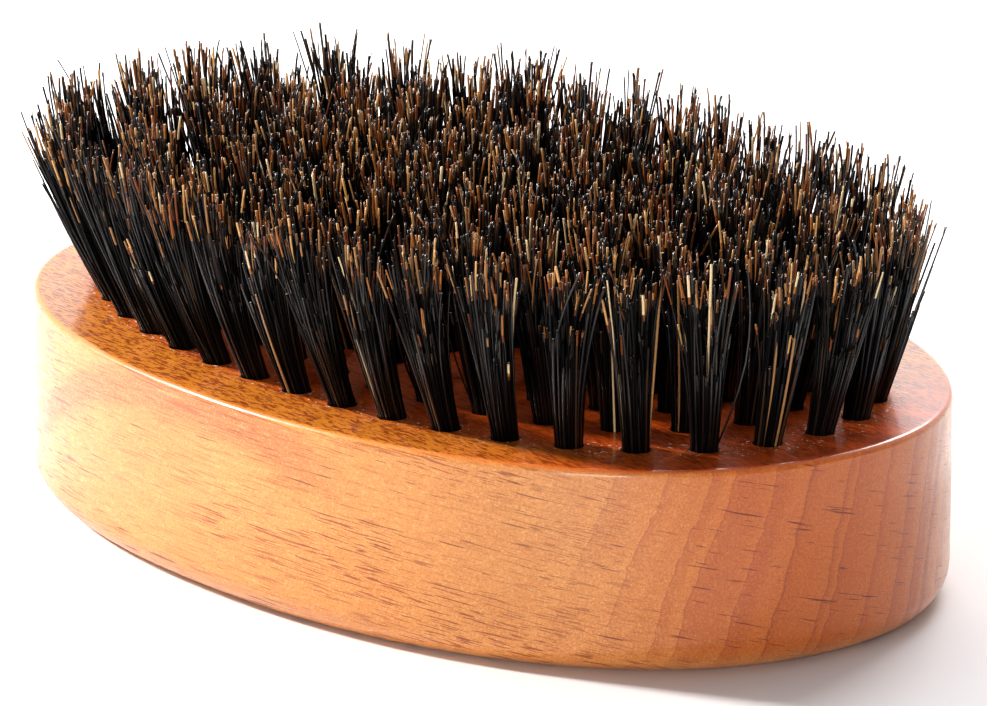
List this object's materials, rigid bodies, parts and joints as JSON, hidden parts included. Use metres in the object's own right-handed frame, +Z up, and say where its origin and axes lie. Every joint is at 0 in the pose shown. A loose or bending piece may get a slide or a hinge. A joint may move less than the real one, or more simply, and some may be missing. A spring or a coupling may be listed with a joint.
{
  "type": "beard brush",
  "caption": "Oval palm brush for grooming a beard: a one-piece hardwood block with leaning tufts of natural bristle set in blind holes.",
  "frame": {"origin": "centre of the flat underside", "axes": "+X along the block's length, +Y across it, +Z up from the underside towards the bristle tips"},
  "size_m": [0.1, 0.066, 0.0365],
  "materials": {
    "lacquered_wood": "clear satin to gloss lacquer over open grain",
    "bristle": "glossy natural boar bristle, black with brown and golden tips",
    "anchor_wire": "plain drawn wire"
  },
  "bodies": {
    "root": {"anchor_01": "anchor_wire", "anchor_05": "anchor_wire", "anchor_09": "anchor_wire", "anchor_13": "anchor_wire", "anchor_17": "anchor_wire", "anchor_21": "anchor_wire", "anchor_25": "anchor_wire", "anchor_29": "anchor_wire", "anchor_33": "anchor_wire", "anchor_37": "anchor_wire", "block": "lacquered_wood", "fourth_row_tufts_1": "bristle", "fourth_row_tufts_2": "bristle", "middle_row_tufts": "bristle", "outer_tuft_01": "bristle", "outer_tuft_02": "bristle", "outer_tuft_03": "bristle", "outer_tuft_04": "bristle", "outer_tuft_05": "bristle", "outer_tuft_06": "bristle", "outer_tuft_07": "bristle", "outer_tuft_08": "bristle", "outer_tuft_09": "bristle", "outer_tuft_10": "bristle", "outer_tuft_11": "bristle", "outer_tuft_12": "bristle", "outer_tuft_13": "bristle", "outer_tuft_14": "bristle", "outer_tuft_15": "bristle", "outer_tuft_16": "bristle", "outer_tuft_17": "bristle", "outer_tuft_18": "bristle", "outer_tuft_19": "bristle", "outer_tuft_20": "bristle", "outer_tuft_21": "bristle", "outer_tuft_22": "bristle", "outer_tuft_23": "bristle", "outer_tuft_24": "bristle", "outer_tuft_25": "bristle", "outer_tuft_26": "bristle", "outer_tuft_27": "bristle", "outer_tuft_28": "bristle", "outer_tuft_29": "bristle", "outer_tuft_30": "bristle", "outer_tuft_31": "bristle", "outer_tuft_32": "bristle", "outer_tuft_33": "bristle", "outer_tuft_34": "bristle", "outer_tuft_35": "bristle", "outer_tuft_36": "bristle", "outer_tuft_37": "bristle", "outer_tuft_38": "bristle", "second_row_tufts_1": "bristle", "second_row_tufts_2": "bristle", "second_row_tufts_3": "bristle", "second_row_tufts_4": "bristle", "third_row_tufts_1": "bristle", "third_row_tufts_2": "bristle", "third_row_tufts_3": "bristle", "third_row_tufts_4": "bristle"}
  },
  "joints": []
}
